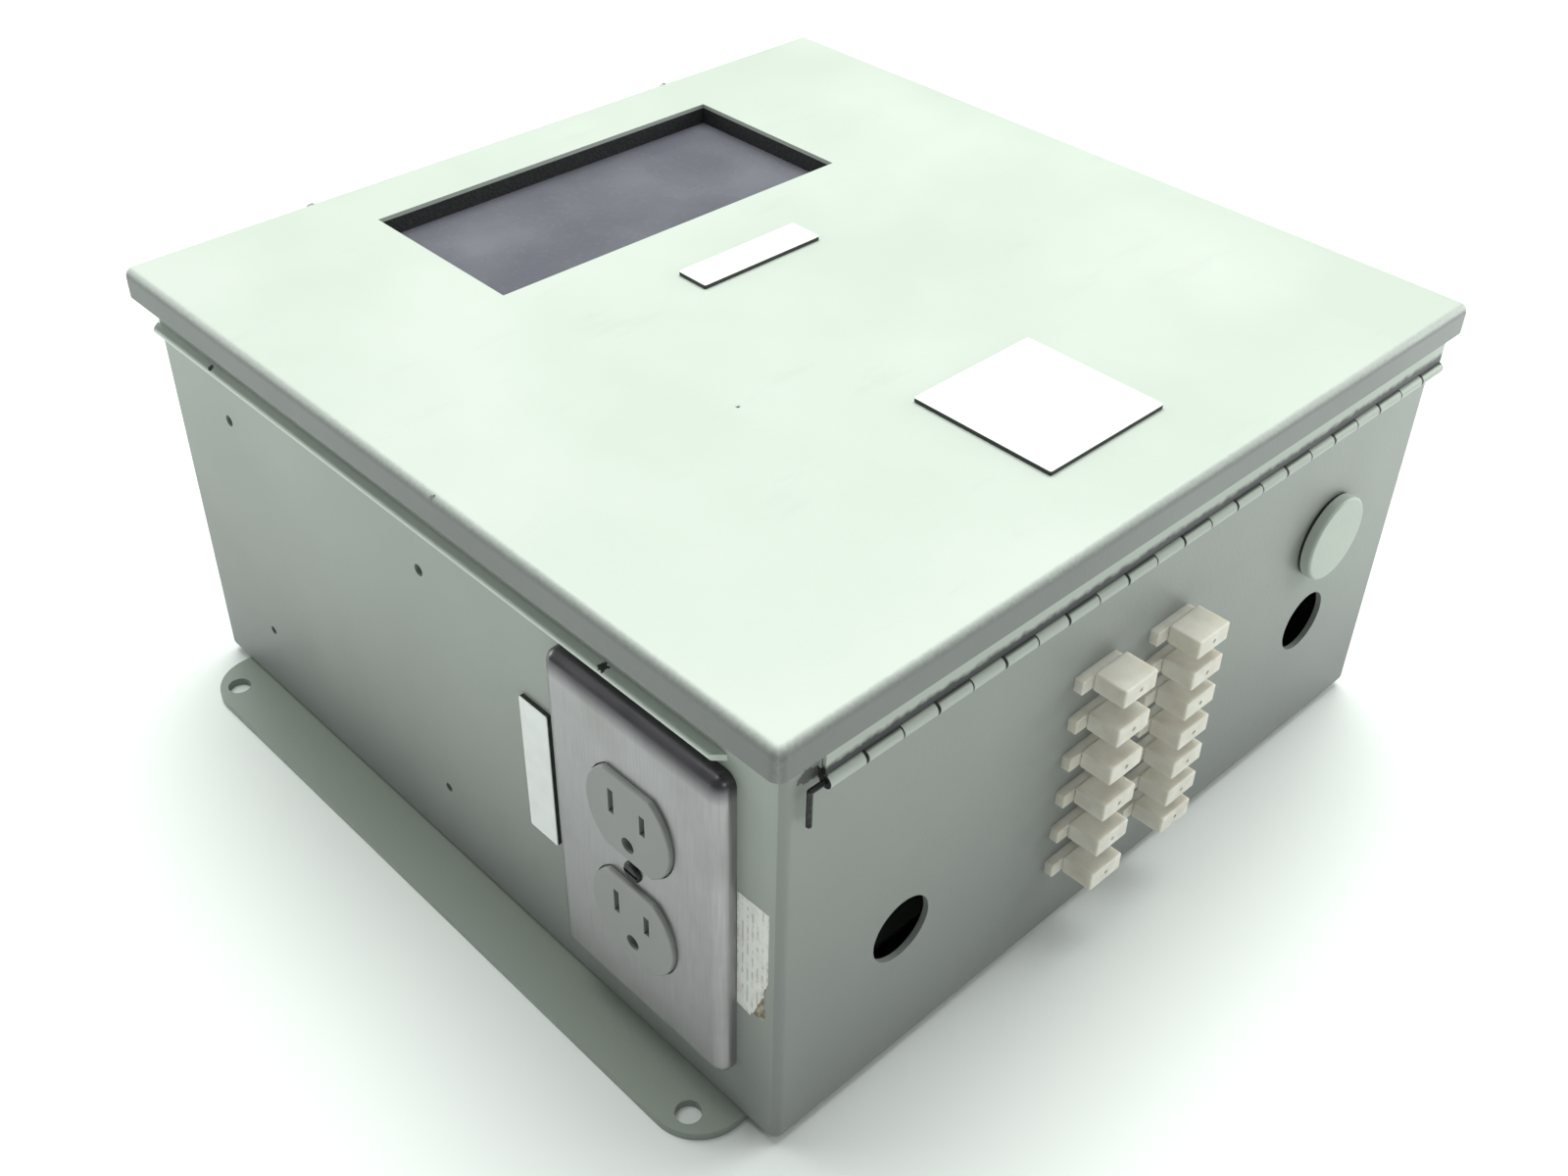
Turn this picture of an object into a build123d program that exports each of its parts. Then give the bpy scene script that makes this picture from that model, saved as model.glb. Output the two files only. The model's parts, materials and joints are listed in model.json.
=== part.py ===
from build123d import *
from math import cos, radians, sin
import os

os.makedirs("parts", exist_ok=True)

# The box lies on its back: +Z is out of the door, -Y is the foot side that carries the receptacle,
# +X is the hinge side, and z = 0 is the underside of the mounting feet.

# ---- driving sizes, millimetres ----
door_w = 304.8
door_h = 304.8
total_h = 160.3
door_t = 1.5
skirt_h = 10.0
door_bend_r = 3.0
door_corner_r = 3.2

body_w = 296.5
body_h = 292.8
body_t = 1.9
body_corner_r = 3.0
body_back_r = 2.0

foot_t = 3.0
foot_len = 271.0
foot_out = 18.8
foot_lap = 28.0
foot_corner_r = 16.0
foot_hole_d = 8.0
foot_hole_x = 124.0
foot_hole_out = 10.8

gasket_t = 4.0
gasket_in = 9.0
gasket_gap = 0.3

flange_t = 1.9
flange_below_skirt = 10.1
flange_out = 3.3
flange_corner_in = 0.75
flange_hinge_in = 19.25
flange_skew = 3.0

win_w = 70.0
win_h = 146.0
win_x = -91.0
win_lap_x = 9.0
win_lap_y = 10.0
win_seal_t = 6.0
pane_t = 3.0
retainer_t = 1.5
retainer_ear = 14.0
win_stud_d = 4.0
win_stud_pitch = 30.0

pin_d = 1.6
knuckle_d = 4.0
leaf_t = 1.1
knuckle_pitch = 12.7
knuckle_count = 22
hinge_shift = 4.5
hinge_gap = 0.35
hinge_below_skirt = 11.0
pin_leg = 11.4
hinge_run = 0.07

clear = 0.3
slip = 0.05

rec_x = 97.5
rec_z = 78.3
plate_w = 69.85
plate_l = 114.3
plate_d = 5.6
plate_t = 1.0
plate_r = 4.0
outlet_w = 34.1
outlet_l = 28.6
outlet_pitch = 38.9
outlet_proud = 1.5
blade_pitch = 12.7
blade_up = 3.5
ground_down = 11.9
yoke_l = 104.8
yoke_w = 24.0
yoke_t = 1.4
yoke_hole_pitch = 83.3
base_w = 33.4
base_l = 68.0
base_d = 25.0
base_side = 28.0

hole_d = 22.2
hole_y = 99.2
hole_z = 56.5
seal_z = 93.5
seal_d = 30.0

spare_hole_x0 = -109.1
spare_hole_x1 = -3.1
spare_hole_z0 = 32.4
spare_hole_z1 = 120.1
spare_hole_top_d = 4.0
spare_hole_low_d = 3.2

fit_w = 14.5
fit_t = 6.5
fit_out = 14.25
fit_flange = 3.0
fit_tab = 5.0
fit_hole_w = 9.4
fit_hole_t = 5.0
near_count = 6
near_y = -21.0
near_top = 107.2
near_pitch = 14.9
far_count = 7
far_y = 14.3
far_top = 104.8
far_pitch = 12.1

label_t = 1.6
name_gap = 5.525
name_rise = 0.5
sticker_t = 0.15
sticker_w = 11.8
sticker_gap = 0.175

panel_w = 254.0
panel_h = 254.0
panel_t = 2.0
panel_lift = 12.0
panel_stud_x = 112.0
panel_stud_y = 112.0

latch_y = 80.0
latch_reach = 26.0
latch_swing = 65.0
catch_d = 5.0
catch_drop = 6.0
slot_play = 1.4
latch_past_skirt = 1.05

# ---- levels and faces that follow from the sizes ----
back_z = foot_t
floor_z = back_z + body_t
skirt_z = total_h - skirt_h
under_z = total_h - door_t
rim_z = under_z - gasket_t - gasket_gap
flange_z = skirt_z - flange_below_skirt
wall_x = body_w / 2
wall_y = body_h / 2
hinge_x = wall_x + hinge_gap + knuckle_d / 2
hinge_z = skirt_z - hinge_below_skirt
hinge_y0 = hinge_shift - knuckle_count * knuckle_pitch / 2
hinge_y1 = hinge_shift + knuckle_count * knuckle_pitch / 2
catch_z = total_h - catch_drop
pivot_z = catch_z - latch_reach


def block(x0, x1, y0, y1, z0, z1):
    """Box between two corners."""
    mid = Pos((x0 + x1) / 2, (y0 + y1) / 2, (z0 + z1) / 2)
    return mid * Box(abs(x1 - x0), abs(y1 - y0), abs(z1 - z0))


def rod_x(x0, x1, y, z, r):
    """Round bar along X."""
    return Pos((x0 + x1) / 2, y, z) * Rot(0, 90, 0) * Cylinder(r, abs(x1 - x0))


def rod_y(x, y0, y1, z, r):
    """Round bar along Y."""
    return Pos(x, (y0 + y1) / 2, z) * Rot(90, 0, 0) * Cylinder(r, abs(y1 - y0))


def rod_z(x, y, z0, z1, r):
    """Round bar along Z."""
    return Pos(x, y, (z0 + z1) / 2) * Cylinder(r, abs(z1 - z0))


def slab(w, h, r, z0, z1):
    """Plate lying flat with rounded plan corners."""
    return Pos(0, 0, z0) * extrude(RectangleRounded(w, h, r), z1 - z0)


def hexagon(flats, t):
    """Hexagonal prism standing on z = 0."""
    return extrude(RegularPolygon(flats / 2, 6, major_radius=False), t)


def top_edges(shape, z):
    """Edges of a shape that lie in one level."""
    return shape.edges().filter_by(lambda e: abs(e.center().Z - z) < 1e-4 and abs(e.bounding_box().size.Z) < 1e-4)


def save(shape, name):
    """One named node to its own STEP file."""
    export_step(shape, "parts/" + name + ".step")


# ---- sheet-metal body ----
def fitting_spots():
    """Centre of every nylon fitting on the hinge side, near column first."""
    near = [(near_y, near_top - near_pitch * k) for k in range(near_count)]
    far = [(far_y, far_top - far_pitch * k) for k in range(far_count)]
    return near + far


def body_shell():
    """Open tub folded from sheet."""
    outer = slab(body_w, body_h, body_corner_r, back_z, rim_z)
    outer = fillet(top_edges(outer, back_z), body_back_r)
    inner_r = body_corner_r - body_t + 0.4
    inner = slab(body_w - 2 * body_t, body_h - 2 * body_t, inner_r, floor_z, rim_z + 1)
    return outer - inner


def body_holes():
    """Everything punched through the walls of the tub."""
    cut = block(rec_x - base_w / 2 - clear, rec_x + base_w / 2 + clear, -wall_y - 1, -wall_y + body_t + 1,
                rec_z - base_l / 2 - clear, rec_z + base_l / 2 + clear)
    for side in (-1, 1):
        z = rec_z + side * yoke_hole_pitch / 2
        cut += rod_y(rec_x, -wall_y - 1, -wall_y + body_t + 1, z, 2.0)
    for x in (spare_hole_x0, spare_hole_x1):
        cut += rod_y(x, -wall_y - 1, -wall_y + body_t + 1, spare_hole_z1, spare_hole_top_d / 2)
        cut += rod_y(x, -wall_y - 1, -wall_y + body_t + 1, spare_hole_z0, spare_hole_low_d / 2)
    for y in (-hole_y, hole_y):
        cut += rod_x(wall_x - body_t - 1, wall_x + 1, y, hole_z, hole_d / 2)
    cut += rod_x(wall_x - body_t - 1, wall_x + 1, hole_y, seal_z, hole_d / 2)
    for y, z in fitting_spots():
        cut += block(wall_x - body_t - 1, wall_x + 1, y - fit_hole_w / 2, y + fit_hole_w / 2,
                     z - fit_hole_t / 2, z + fit_hole_t / 2)
    return cut


def body_panels():
    """The back and four walls of the tub, parted along its bend lines and welded corner seams."""
    shell = body_shell() - body_holes()
    x_in = wall_x - body_t
    y_in = wall_y - body_t
    x_out = wall_x + 1
    y_out = wall_y + 1
    bend = body_corner_r
    save(shell & block(-x_out, x_out, -y_out, y_out, back_z - 1, floor_z), "body_back")
    save(shell & block(x_in, x_out, -y_out, y_out, floor_z, rim_z + 1), "body_wall_hinge")
    save(shell & block(-x_out, -x_in, -y_out, y_out, floor_z, rim_z + 1), "body_wall_latch")
    save(shell & block(-x_in, x_in, -y_out, bend - y_in, floor_z, rim_z + 1), "body_wall_front")
    save(shell & block(-x_in, x_in, y_in - bend, y_out, floor_z, rim_z + 1), "body_wall_rear")


body_panels()


# ---- mounting feet, one strip under each end of the back ----
def mounting_foot(side):
    """Flat strip welded under the back, holes outside the wall."""
    y_out = side * (wall_y + foot_out)
    y_in = side * (wall_y - foot_lap)
    strip = block(-foot_len / 2, foot_len / 2, y_in, y_out, 0, foot_t)
    ends = strip.edges().filter_by(Axis.Z).sort_by(Axis.Y)
    outer = ends[-2:] if side > 0 else ends[:2]
    strip = fillet(outer, foot_corner_r)
    for x in (-foot_hole_x, foot_hole_x):
        strip -= rod_z(x, side * (wall_y + foot_hole_out), -1, foot_t + 1, foot_hole_d / 2)
    return strip


save(mounting_foot(-1), "mounting_foot_front")
save(mounting_foot(1), "mounting_foot_rear")


# ---- drip flanges welded below the rim on the three sides without a hinge ----
def flange_strip(length, out):
    """Strip in its own frame: wall at y = 0, outward is -Y, ends cut on a skew."""
    half = length / 2
    plan = make_face(Polyline((-half, 0), (half, 0), (half - flange_skew, -out), (-half + flange_skew, -out), close=True))
    strip = extrude(plan, flange_t)
    lip = strip.edges().filter_by(Axis.X).sort_by(Axis.Y)[:2]
    return fillet(lip, flange_t * 0.4)


def flanges():
    """The three strips set on their walls."""
    z = flange_z - flange_t
    mid = (flange_corner_in - flange_hinge_in) / 2
    long_y = body_w - flange_corner_in - flange_hinge_in
    long_x = body_h - 2 * flange_corner_in
    save(Pos(mid, -wall_y, z) * flange_strip(long_y, flange_out), "drip_flange_front")
    save(Pos(mid, wall_y, z) * Rot(0, 0, 180) * flange_strip(long_y, flange_out), "drip_flange_rear")
    save(Pos(-wall_x, 0, z) * Rot(0, 0, -90) * flange_strip(long_x, flange_out), "drip_flange_latch")


flanges()


# ---- door, a pan with welded corners ----
def door_pan():
    """Folded pan with closed, welded corners and the window cut out."""
    outer = slab(door_w, door_h, door_corner_r, skirt_z, total_h)
    outer = fillet(top_edges(outer, total_h), door_bend_r)
    inner = slab(door_w - 2 * door_t, door_h - 2 * door_t, door_corner_r - door_t, skirt_z - 1, under_z)
    inner = fillet(top_edges(inner, under_z), door_bend_r - door_t)
    pan = outer - inner
    pan -= block(win_x - win_w / 2, win_x + win_w / 2, -win_h / 2, win_h / 2, under_z - 1, total_h + 1)
    return pan


def door_gasket():
    """Flat sponge frame bonded inside the door, closing on the rim."""
    out_w = body_w + 1.6
    out_h = body_h + 4.0
    ring = slab(out_w, out_h, 3.0, under_z - gasket_t, under_z)
    return ring - slab(out_w - 2 * gasket_in, out_h - 2 * gasket_in - 4, 3.0, under_z - gasket_t - 1, under_z + 1)


save(door_pan(), "door")
save(door_gasket(), "door_gasket")


# ---- window set behind the door ----
win_out_w = win_w + 2 * win_lap_x
win_out_h = win_h + 2 * win_lap_y
seal_low = under_z - win_seal_t
pane_low = seal_low - pane_t
retainer_low = pane_low - retainer_t
stud_y = win_out_h / 2 + retainer_ear / 2


def window_spots():
    """Centres of the six window studs."""
    return [(win_x + k * win_stud_pitch, side * stud_y) for side in (-1, 1) for k in (-1, 0, 1)]


def window_seal():
    """Rubber frame between the door sheet and the pane."""
    frame = Pos(win_x, 0, 0) * slab(win_out_w, win_out_h, 2.0, seal_low, under_z)
    return frame - block(win_x - win_w / 2, win_x + win_w / 2, -win_h / 2, win_h / 2, seal_low - 1, under_z + 1)


def window_retainer():
    """Steel frame clamping pane and seal, with an ear row at each end."""
    frame = Pos(win_x, 0, 0) * slab(win_out_w, win_out_h + 2 * retainer_ear, 2.0, retainer_low, pane_low)
    frame -= block(win_x - win_w / 2 + 2, win_x + win_w / 2 - 2, -win_h / 2 + 2, win_h / 2 - 2,
                   retainer_low - 1, pane_low + 1)
    for x, y in window_spots():
        frame -= rod_z(x, y, retainer_low - 1, pane_low + 1, win_stud_d / 2 + 0.25)
    return frame


def window_studs():
    """Six studs welded to the inside of the door."""
    group = Part()
    for x, y in window_spots():
        group += rod_z(x, y, retainer_low - 4.6, under_z, win_stud_d / 2)
    return group


def window_nuts():
    """Six plain nuts on the window studs."""
    group = Part()
    for x, y in window_spots():
        nut = Pos(x, y, retainer_low - 3.2) * hexagon(7.0, 3.2)
        group += nut - rod_z(x, y, retainer_low - 5, retainer_low + 1, win_stud_d / 2 + 0.02)
    return group


save(window_seal(), "window_seal")
save(Pos(win_x, 0, 0) * slab(win_out_w, win_out_h, 2.0, pane_low, seal_low), "window_pane")
save(window_retainer(), "window_retainer")
save(window_studs(), "window_studs")
save(window_nuts(), "window_nuts")


# ---- continuous hinge: two leaves rolled on one pin ----
leaf_top_body = rim_z - 5.0
leaf_top_door = under_z - gasket_t - 0.5
bore_r = pin_d / 2 + hinge_run


def knuckle(k):
    """Solid of one knuckle, shortened by the running gap."""
    y0 = hinge_y0 + k * knuckle_pitch + clear / 2
    y1 = y0 + knuckle_pitch - clear
    return rod_y(hinge_x, y0, y1, hinge_z, knuckle_d / 2)


def hinge_leaf(first, x0, x1, root_z, top_z):
    """Leaf strip with every second knuckle, the other places notched for clearance."""
    leaf = block(x0, x1, hinge_y0, hinge_y1, hinge_z + knuckle_d / 2 + 0.4, top_z)
    for k in range(first, knuckle_count, 2):
        y0 = hinge_y0 + k * knuckle_pitch + clear / 2
        y1 = y0 + knuckle_pitch - clear
        leaf += block(x0, x1, y0, y1, root_z, top_z)
        leaf += knuckle(k)
    return leaf - rod_y(hinge_x, hinge_y0 - 1, hinge_y1 + 1, hinge_z, bore_r)


def hinge_pin():
    """Wire pin with one end bent down as a stop."""
    y_leg = hinge_y0 - 4.8
    pin = rod_y(hinge_x, y_leg, hinge_y1, hinge_z, pin_d / 2)
    pin += rod_z(hinge_x, y_leg, hinge_z - pin_leg, hinge_z, pin_d / 2)
    return pin + Pos(hinge_x, y_leg, hinge_z) * Sphere(pin_d / 2)


skirt_in_x = door_w / 2 - door_t
save(hinge_leaf(0, wall_x, wall_x + leaf_t, hinge_z, leaf_top_body), "hinge_leaf_body")
save(hinge_leaf(1, skirt_in_x - leaf_t, skirt_in_x, hinge_z + 1.2, leaf_top_door), "hinge_leaf_door")
save(hinge_pin(), "hinge_pin")


# ---- engraving-laminate nameplates and the paper sticker ----
def nameplate(w, h, t):
    """Square-edged laminate plate standing on z = 0."""
    return extrude(RectangleRounded(w, h, 0.3), t)


plate_big = 50.8
plate_strip = 12.7
save(Pos(98.2, 2.5, total_h) * nameplate(plate_big, plate_big, label_t), "nameplate_door_large")
save(Pos(-23.0, 2.0, total_h) * nameplate(plate_strip, plate_big, label_t), "nameplate_door_small")
name_x = rec_x - plate_w / 2 - name_gap - plate_strip / 2
on_wall = Pos(name_x, -wall_y, rec_z + name_rise) * Rot(90, 0, 0)
save(on_wall * nameplate(plate_strip, plate_big, label_t), "nameplate_outlet")


def paper_label():
    """Thin sticker with one torn lower corner."""
    x0 = rec_x + plate_w / 2 + sticker_gap
    x1 = x0 + sticker_w
    z0 = 50.5
    z1 = 95.5
    face = make_face(Polyline((x0, z0 + 4), (x1 - 3, z0), (x1, z0 + 9), (x1, z1), (x0, z1), close=True))
    return Pos(0, -wall_y, 0) * Rot(90, 0, 0) * extrude(face, sticker_t)


save(paper_label(), "paper_label")


# ---- duplex receptacle in the foot-side wall ----
def on_outlet(shape):
    """Turn a piece drawn flat (x across, y up, z out) onto the wall at the receptacle centre."""
    return Pos(rec_x, -wall_y, rec_z) * Rot(90, 0, 0) * shape


def outlet_plan(grow):
    """Flat-topped round outline of one outlet face."""
    disc = Circle(outlet_w / 2 + grow)
    return disc & Rectangle(outlet_w + 10, outlet_l + 2 * grow)


def outlet_centres():
    """Height of the two outlet faces from the middle of the device."""
    return (-outlet_pitch / 2, outlet_pitch / 2)


def dished(w, h, d, r_plan, r_edge):
    """Slab with softened front edges, standing on z = 0."""
    body = extrude(RectangleRounded(w, h, r_plan), d)
    return fillet(top_edges(body, d), r_edge)


def cover_plate():
    """Pressed stainless wall plate, hollow behind."""
    plate = dished(plate_w, plate_l, plate_d, plate_r, plate_r * 0.95)
    hollow = dished(plate_w - 2 * plate_t, plate_l - 2 * plate_t, plate_d - plate_t, plate_r - plate_t,
                    (plate_r - plate_t) * 0.9)
    plate -= hollow
    for y in outlet_centres():
        plate -= Pos(0, y, 0) * extrude(outlet_plan(0.4), plate_d + 1)
    return on_outlet(plate - rod_z(0, 0, -1, plate_d + 1, 2.1))


def slots(z0, z1, extra):
    """Blade slots and ground holes of both outlets."""
    cut = Part()
    for y in outlet_centres():
        line = y + blade_up
        cut += block(-blade_pitch / 2 - 1.1 - extra, -blade_pitch / 2 + 1.1 + extra, line - 4.3, line + 4.3, z0, z1)
        cut += block(blade_pitch / 2 - 1.1 - extra, blade_pitch / 2 + 1.1 + extra, line - 3.5, line + 3.5, z0, z1)
        cut += rod_z(0, line - ground_down, z0, z1, 2.5 + extra)
    return cut


def receptacle_face():
    """Moulded front: a slab behind the wall plate and two raised outlet faces."""
    front = Pos(0, 0, yoke_t) * extrude(RectangleRounded(base_w, base_l, 1.5), 2.6)
    for y in outlet_centres():
        boss = Pos(0, y, yoke_t) * extrude(outlet_plan(0), plate_d + outlet_proud - yoke_t)
        front += fillet(top_edges(boss, plate_d + outlet_proud), 0.5)
    front -= slots(0, plate_d + 5, 0)
    front -= rod_z(0, 0, 0, plate_d + 5, 2.1)
    return on_outlet(front)


def receptacle_yoke():
    """Steel strap carrying the device on the wall."""
    strap = extrude(RectangleRounded(yoke_w, yoke_l, 3.0), yoke_t)
    for y in outlet_centres():
        strap -= block(-9, 9, y - 13, y + 12, -1, yoke_t + 1)
    for side in (-1, 1):
        strap -= rod_z(0, side * yoke_hole_pitch / 2, -1, yoke_t + 1, 2.0)
    return on_outlet(strap - rod_z(0, 0, -1, yoke_t + 1, 1.8))


def receptacle_base():
    """Rear housing with a long pocket for each contact."""
    front = Pos(0, 0, -6) * extrude(RectangleRounded(base_w, base_l, 1.5), 6)
    rear = Pos(0, 0, -base_d) * extrude(RectangleRounded(base_side, base_l, 1.5), base_d - 6)
    base = front + rear
    for x in (-blade_pitch / 2, 0, blade_pitch / 2):
        half = 3.0 if x else 2.8
        base -= block(x - half, x + half, -base_l / 2 + 3, base_l / 2 - 3, -16, 1)
    base += block(-3.5, 3.5, -4, 4, -16, 0)
    base -= rod_z(0, 0, -14, 1, 1.9)
    for side in (-1, 1):
        for y in (-10, 10):
            base -= rod_x(side * blade_pitch / 2, side * (base_side / 2 + 1), y, -11, 1.9)
    return on_outlet(base)


def contact(x, wide):
    """Folded brass strip serving both outlets on one pole."""
    strip = block(x - wide, x - wide + 0.8, -base_l / 2 + 4, base_l / 2 - 4, -15.5, -1)
    strip += block(x + wide - 0.8, x + wide, -base_l / 2 + 4, base_l / 2 - 4, -15.5, -1)
    strip += block(x - wide, x + wide, -base_l / 2 + 4, base_l / 2 - 4, -15.5, -14.5)
    return strip


def pole_contact(side):
    """Pole strip with the two screw holes of its terminals."""
    strip = contact(side * blade_pitch / 2, 2.7)
    for y in (-10, 10):
        strip -= rod_x(side * (blade_pitch / 2 + 1.5), side * (blade_pitch / 2 + 4), y, -11, 1.7)
    return on_outlet(strip)


def ground_contact():
    """Ground strip, split either side of the middle boss."""
    strip = contact(0, 2.6)
    return on_outlet(strip - block(-4, 4, -4.5, 4.5, -17, -1.8 - 12.7) - block(-4, 4, -4.5, 4.5, -20, 1))


def terminal_screws():
    """Four binding-head screws, two on each side."""
    group = Part()
    for side in (-1, 1):
        for y in (-10, 10):
            head0 = side * base_side / 2
            head1 = side * (base_side / 2 + 2.4)
            screw = rod_x(head0, head1, y, -11, 3.9)
            screw += rod_x(side * (blade_pitch / 2 + 1.9), head0, y, -11, 1.65)
            group += screw - block(head1 - 0.8, head1 + 0.8, y - 3.2, y + 3.2, -11.4, -10.6)
    return on_outlet(group)


def mount_screws():
    """Two pan-head screws through yoke and wall."""
    group = Part()
    for side in (-1, 1):
        y = side * yoke_hole_pitch / 2
        group += rod_z(0, y, yoke_t, yoke_t + 2.2, 3.4)
        group += rod_z(0, y, -body_t - 6, yoke_t, 1.75)
        group -= block(-2.6, 2.6, y - 0.5, y + 0.5, yoke_t + 1.2, yoke_t + 3)
    return on_outlet(group)


def mount_nuts():
    """Two nuts inside the wall."""
    group = Part()
    for side in (-1, 1):
        y = side * yoke_hole_pitch / 2
        nut = Pos(0, y, -body_t - 2.8) * hexagon(7.9, 2.8)
        group += nut - rod_z(0, y, -body_t - 4, 0, 1.77)
    return on_outlet(group)


def cover_screw():
    """Oval-head screw holding the wall plate to the yoke."""
    head = rod_z(0, 0, plate_d, plate_d + 1.2, 3.3)
    head = fillet(top_edges(head, plate_d + 1.2), 1.0)
    shank = rod_z(0, 0, -8, plate_d, 1.75)
    return on_outlet(head + shank - block(-2.8, 2.8, -0.5, 0.5, plate_d + 0.4, plate_d + 2))


save(cover_plate(), "cover_plate")
save(cover_screw(), "cover_screw")
save(receptacle_face(), "receptacle_face")
save(receptacle_yoke(), "receptacle_yoke")
save(receptacle_base(), "receptacle_base")
save(pole_contact(1), "contact_line")
save(pole_contact(-1), "contact_neutral")
save(ground_contact(), "contact_ground")
save(terminal_screws(), "terminal_screws")
save(mount_screws(), "yoke_screws")
save(mount_nuts(), "yoke_nuts")


# ---- nylon fittings in two columns on the hinge side ----
def nylon_fitting():
    """Snap-in nylon block: head outside, neck through the wall, barbs inside. Wall face at x = 0."""
    head = block(fit_flange, fit_out, -fit_w / 2, fit_w / 2, -fit_t / 2, fit_t / 2)
    head = fillet(head.edges(), 0.6)
    collar = block(0, fit_flange, -fit_w / 2 - fit_tab, fit_w / 2 - 1.0, -fit_t / 2 + 0.8, fit_t / 2 - 0.8)
    collar = fillet(collar.edges().filter_by(Axis.X), 0.5)
    neck_w = fit_hole_w / 2 - 0.15
    neck_t = fit_hole_t / 2 - 0.15
    neck = block(-body_t - 3.5, fit_flange + 1, -neck_w, neck_w, -neck_t, neck_t)
    barb_x = -body_t - 0.1
    barb = make_face(Polyline((barb_x, neck_w), (barb_x, neck_w + 0.9), (barb_x - 3, neck_w - 0.4), close=True))
    wedge = Pos(0, 0, -neck_t) * extrude(barb, 2 * neck_t)
    piece = head + collar + neck + wedge + mirror(wedge, Plane.XZ)
    return piece - rod_x(-10, fit_out + 1, 0, 0, 0.8)


def save_fittings():
    """One node for every fitting."""
    for k, (y, z) in enumerate(fitting_spots()):
        save(Pos(wall_x, y, z) * nylon_fitting(), "nylon_fitting_%02d" % (k + 1))


save_fittings()


# ---- hole seal closing the upper hole on the hinge side ----
seal_gasket_t = 1.0
seal_cap_t = 3.6
seal_bar_t = 2.0
bar_x = wall_x - body_t - seal_bar_t


def seal_cap():
    """Shallow cap with a welded stud reaching inside."""
    x0 = wall_x + seal_gasket_t
    cap = Rot(0, 90, 0) * dished_disc(seal_d / 2, seal_cap_t, 1.0)
    cap -= Rot(0, 90, 0) * extrude(Circle(seal_d / 2 - 2.2), seal_cap_t - 1.2)
    cap = Pos(x0, hole_y, seal_z) * cap
    return cap + rod_x(bar_x - 9, x0 + seal_cap_t - 1.0, hole_y, seal_z, 2.5)


def dished_disc(r, t, edge):
    """Disc with a softened front edge."""
    disc = extrude(Circle(r), t)
    return fillet(top_edges(disc, t), edge)


def seal_gasket():
    """Flat rubber ring under the cap."""
    ring = rod_x(wall_x, wall_x + seal_gasket_t, hole_y, seal_z, seal_d / 2 - 0.3)
    return ring - rod_x(wall_x - 1, wall_x + 3, hole_y, seal_z, hole_d / 2 + 0.3)


def seal_bar():
    """Cross bar bearing on the inside of the wall."""
    half = hole_d / 2 + 5
    bar = block(bar_x, bar_x + seal_bar_t, hole_y - 6, hole_y + 6, seal_z - half, seal_z + half)
    bar = fillet(bar.edges().filter_by(Axis.X), 3.0)
    return bar - rod_x(bar_x - 1, bar_x + seal_bar_t + 1, hole_y, seal_z, 2.7)


def seal_nut():
    """Hex nut on the seal stud."""
    nut = Rot(0, -90, 0) * hexagon(8.0, 4.0)
    return Pos(bar_x, hole_y, seal_z) * nut - rod_x(bar_x - 8, bar_x + 1, hole_y, seal_z, 2.52)


save(seal_cap(), "hole_seal_cap")
save(seal_gasket(), "hole_seal_gasket")
save(seal_bar(), "hole_seal_bar")
save(seal_nut(), "hole_seal_nut")


# ---- inner panel on collar studs ----
def panel_spots():
    """Four stud positions on the back."""
    return [(sx * panel_stud_x, sy * panel_stud_y) for sx in (-1, 1) for sy in (-1, 1)]


def panel_studs():
    """Collar studs welded to the inside of the back."""
    group = Part()
    for x, y in panel_spots():
        group += rod_z(x, y, floor_z, floor_z + panel_lift, 5.5)
        group += rod_z(x, y, floor_z, floor_z + panel_lift + panel_t + 8, 3.0)
    return group


def inner_panel():
    """Flat sub-panel resting on the collars."""
    z0 = floor_z + panel_lift
    plate = slab(panel_w, panel_h, 6.0, z0, z0 + panel_t)
    for x, y in panel_spots():
        plate -= rod_z(x, y, z0 - 1, z0 + panel_t + 1, 3.4)
    return plate


def panel_nuts():
    """Four nuts holding the panel down."""
    group = Part()
    z0 = floor_z + panel_lift + panel_t
    for x, y in panel_spots():
        group += Pos(x, y, z0) * hexagon(10.0, 5.0) - rod_z(x, y, z0 - 1, z0 + 6, 3.02)
    return group


save(panel_studs(), "panel_studs")
save(inner_panel(), "inner_panel")
save(panel_nuts(), "panel_nuts")


# ---- two swing-hook latches on the side opposite the hinge ----
skirt_off = door_w / 2 - wall_x
latch_boss = skirt_off + latch_past_skirt
hook_t = 2.0
hook_face = latch_boss + clear
slot_half = catch_d / 2 + slot_play
hook_hub = 8.0


def from_wall(u):
    """X of a point standing u outside the latch-side wall."""
    return -wall_x - u


def sector(r, a0, a1):
    """Pie slice in the plan of the hook, angles from straight up toward +x."""
    steps = [a0 + (a1 - a0) * k / 12 for k in range(13)]
    rim = [(r * sin(radians(a)), r * cos(radians(a))) for a in steps]
    return make_face(Polyline((0, 0), *rim, close=True))


def hook_plan():
    """Cam plate engaged with the catch straight above the pivot."""
    band = slot_half + 4.5
    plate = sector(latch_reach + band, -22, 20) + Circle(hook_hub)
    slot = sector(latch_reach + slot_half, -4, 40) - Circle(latch_reach - slot_half)
    slot += Pos(-latch_reach * sin(radians(4)), latch_reach * cos(radians(4))) * Circle(slot_half)
    tail = Pos(0, -11) * Rectangle(11, 22)
    return plate + tail - slot - Circle(3.0 + slip)


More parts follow.
